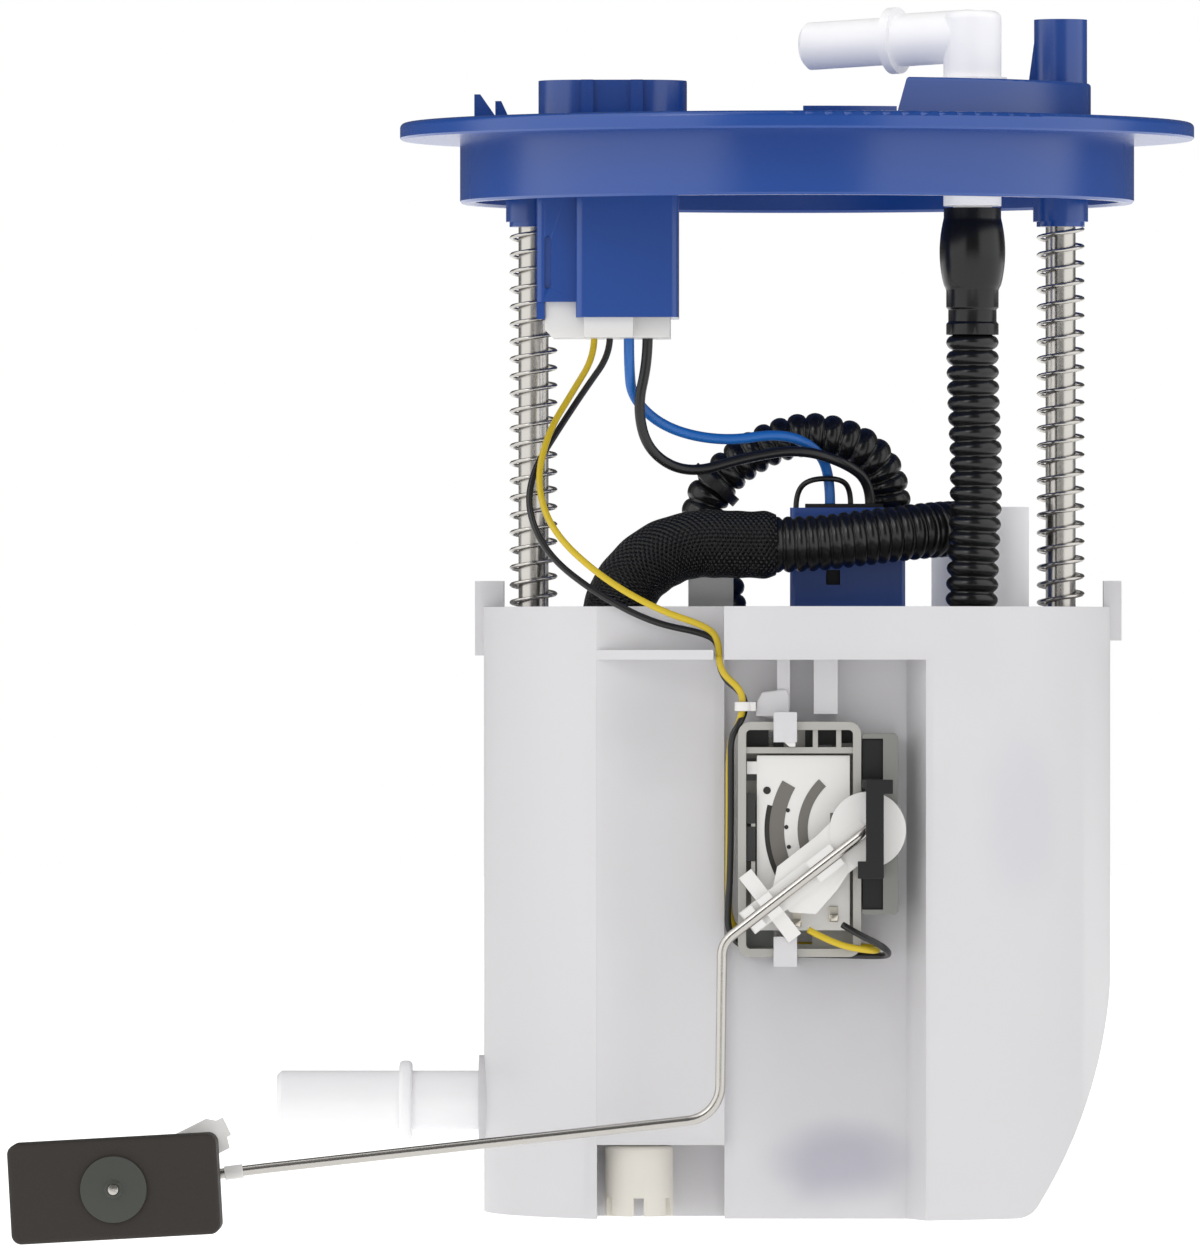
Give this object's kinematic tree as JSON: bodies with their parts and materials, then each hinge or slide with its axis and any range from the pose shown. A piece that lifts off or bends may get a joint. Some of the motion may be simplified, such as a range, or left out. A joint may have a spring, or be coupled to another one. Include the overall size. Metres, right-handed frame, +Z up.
{
  "type": "in-tank fuel pump module",
  "caption": "Fuel pump module: flange cover on two sprung guide rods over a round reservoir with pump, filter, hoses, wiring, level sender and float arm.",
  "frame": {"origin": "on the flange axis, in the plane where the plate rests on the tank's seal", "axes": "+Z up along the flange axis, out of the tank; -Y towards the level sender; -X towards the float and the crossover port"},
  "size_m": [0.2337, 0.16, 0.2439],
  "materials": {
    "blue_plastic": "moulded, slightly glossy",
    "natural_plastic": "translucent natural plastic",
    "white_plastic": "moulded, satin",
    "cream_plastic": "moulded, satin",
    "black_plastic": "moulded, satin",
    "black_hose": "corrugated hose, glossy",
    "dark_hose": "smooth",
    "rubber": "matt",
    "braid": "braided sleeve",
    "black_lead": "smooth insulation",
    "yellow_lead": "smooth insulation",
    "blue_lead": "smooth insulation",
    "steel": "bright drawn",
    "dark_metal": "dark, fine-grained",
    "brass": "bright",
    "ceramic": "fired ceramic",
    "paper": "pleated paper",
    "mesh": "fine woven mesh",
    "float_foam": "closed-cell foam"
  },
  "bodies": {
    "flange": {"flange_cover": "blue_plastic", "terminal_blades": "brass", "inner_plug": "white_plastic", "outlet_elbow": "natural_plastic", "hose_cuff": "dark_hose", "outlet_hose": "black_hose", "guide_rod_left": "steel", "guide_rod_right": "steel", "rod_clip_left": "steel", "rod_clip_right": "steel", "return_spring_left": "steel", "return_spring_right": "steel", "sender_lead_yellow_upper": "yellow_lead", "sender_lead_black_upper": "black_lead", "pump_lead_blue": "blue_lead", "pump_lead_black": "black_lead"},
    "reservoir": {"reservoir_shell": "natural_plastic", "crossover_port": "natural_plastic", "umbrella_valve": "rubber", "pump_housing": "steel", "pump_end_cap": "black_plastic", "pump_inlet_cover": "black_plastic", "motor_magnets": "dark_metal", "pump_isolator": "rubber", "pump_cap": "blue_plastic", "pump_connector": "black_plastic", "suction_strainer": "mesh", "filter_case": "natural_plastic", "filter_element": "paper", "filter_lid": "natural_plastic", "pressure_regulator": "steel", "jet_pump": "cream_plastic", "jet_hose": "black_hose", "braided_sleeve": "braid", "jet_feed_pipe": "black_hose", "loop_hose": "black_hose", "hose_collar": "black_plastic", "ground_clip": "steel", "ground_lead": "black_lead", "sender_frame": "white_plastic", "sender_rail": "white_plastic", "retainer_bar": "black_plastic", "resistor_card": "ceramic", "resistor_tracks": "dark_metal", "sender_terminals": "brass", "sender_lead_yellow_lower": "yellow_lead", "sender_lead_black_lower": "black_lead", "wire_tie": "white_plastic"},
    "pump_rotor": {"pump_armature": "steel", "pump_impeller": "black_plastic"},
    "float_arm": {"arm_rotor": "white_plastic", "wiper_blade": "brass", "arm_wire": "steel", "wire_sleeve": "white_plastic", "float_clip": "dark_metal"},
    "float": {"float_block": "float_foam", "float_keeper": "white_plastic"}
  },
  "joints": [
    {"name": "reservoir_slide", "type": "slide", "parent": "flange", "child": "reservoir", "axis": [0, 0, 1], "range_m": [0, 0.03], "stiffness_N_per_m": 400, "springref_m": -0.05, "deforming": ["return_spring_left", "return_spring_right", "outlet_hose", "sender_lead_yellow_upper", "sender_lead_black_upper", "pump_lead_blue", "pump_lead_black"]},
    {"name": "float_arm_pivot", "type": "hinge", "parent": "reservoir", "child": "float_arm", "pos_m": [0.0139, -0.0595, -0.1372], "axis": [0, 1, 0], "range_deg": [0, 55]},
    {"name": "float_swivel", "type": "hinge", "parent": "float_arm", "child": "float", "pos_m": [-0.1334, -0.0712, -0.2072], "axis": [0, 1, 0], "range_deg": [-75, 12]},
    {"name": "pump_rotor_spin", "type": "hinge", "parent": "reservoir", "child": "pump_rotor", "pos_m": [0.0101, 0.001, -0.139], "axis": [0, 0, 1], "continuous": true}
  ]
}
